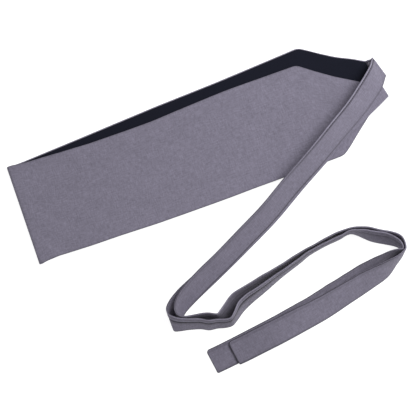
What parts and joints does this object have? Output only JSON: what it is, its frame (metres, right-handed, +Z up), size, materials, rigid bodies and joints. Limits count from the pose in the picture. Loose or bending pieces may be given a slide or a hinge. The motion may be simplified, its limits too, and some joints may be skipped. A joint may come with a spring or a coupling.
{
  "type": "obi belt",
  "caption": "Wide cloth obi waist belt with tapered tips and narrow ties, laid out folded in half with its ties looped beside it.",
  "frame": {"origin": "middle of the laid-out belt's box, on the surface that it lies on", "axes": "+X along the long way of the laid-out belt, from the folded end to the tips; +Y towards the half whose lining shows; +Z up"},
  "size_m": [0.4688, 0.3895, 0.0344],
  "materials": {
    "outer_cloth": "matt plain weave",
    "lining": "smooth plain weave",
    "tie_cloth": "matt plain weave"
  },
  "bodies": {
    "root": {"outer_cloth": "outer_cloth", "lining_cloth": "lining", "back_tie": "tie_cloth", "front_tie": "tie_cloth"}
  },
  "joints": []
}
